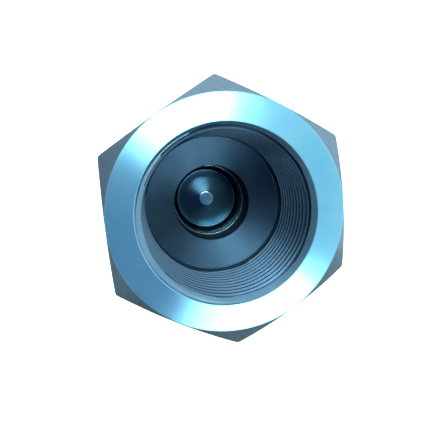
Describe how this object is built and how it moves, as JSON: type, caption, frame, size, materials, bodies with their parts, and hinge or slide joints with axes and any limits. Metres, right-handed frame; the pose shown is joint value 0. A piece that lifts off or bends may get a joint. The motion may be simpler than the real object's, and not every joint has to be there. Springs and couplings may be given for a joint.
{
  "type": "hydraulic non-return valve",
  "caption": "In-line hydraulic non-return valve with a hexagon body, female threaded ports and a spring-loaded cone poppet that opens towards the outlet.",
  "frame": {"origin": "centre of the outlet port's end face, which the valve stands on", "axes": "+Z along the flow axis from the outlet to the inlet, so oil flows along -Z; hexagon flats face +X and -X"},
  "size_m": [0.055, 0.0632, 0.126],
  "materials": {
    "zinc_plated_body": "turned and milled steel, zinc plated, blue passivated",
    "hardened_seat": "hardened steel, fine turned",
    "hardened_poppet": "hardened steel, turned, dark",
    "ground_stem": "ground steel",
    "spring_wire": "oil tempered spring steel",
    "machined_guide": "machined steel",
    "bush_bronze": "bearing bronze, bored",
    "nitrile": "moulded nitrile rubber",
    "ptfe": "skived PTFE"
  },
  "bodies": {
    "valve_body": {"inlet_body": "zinc_plated_body", "outlet_body": "zinc_plated_body", "seat_ring": "hardened_seat", "seat_o_ring": "nitrile", "joint_o_ring": "nitrile", "joint_backup_ring": "ptfe", "spring": "spring_wire", "spring_shim": "ground_stem", "stem_guide": "machined_guide", "guide_bush": "bush_bronze", "guide_circlip": "spring_wire"},
    "poppet": {"poppet_head": "hardened_poppet", "poppet_stem": "ground_stem"}
  },
  "joints": [
    {"name": "poppet_slide", "type": "slide", "parent": "valve_body", "child": "poppet", "axis": [0, 0, -1], "range_m": [0, 0.008], "stiffness_N_per_m": 3700, "springref_m": -0.005, "deforming": ["spring"]}
  ]
}
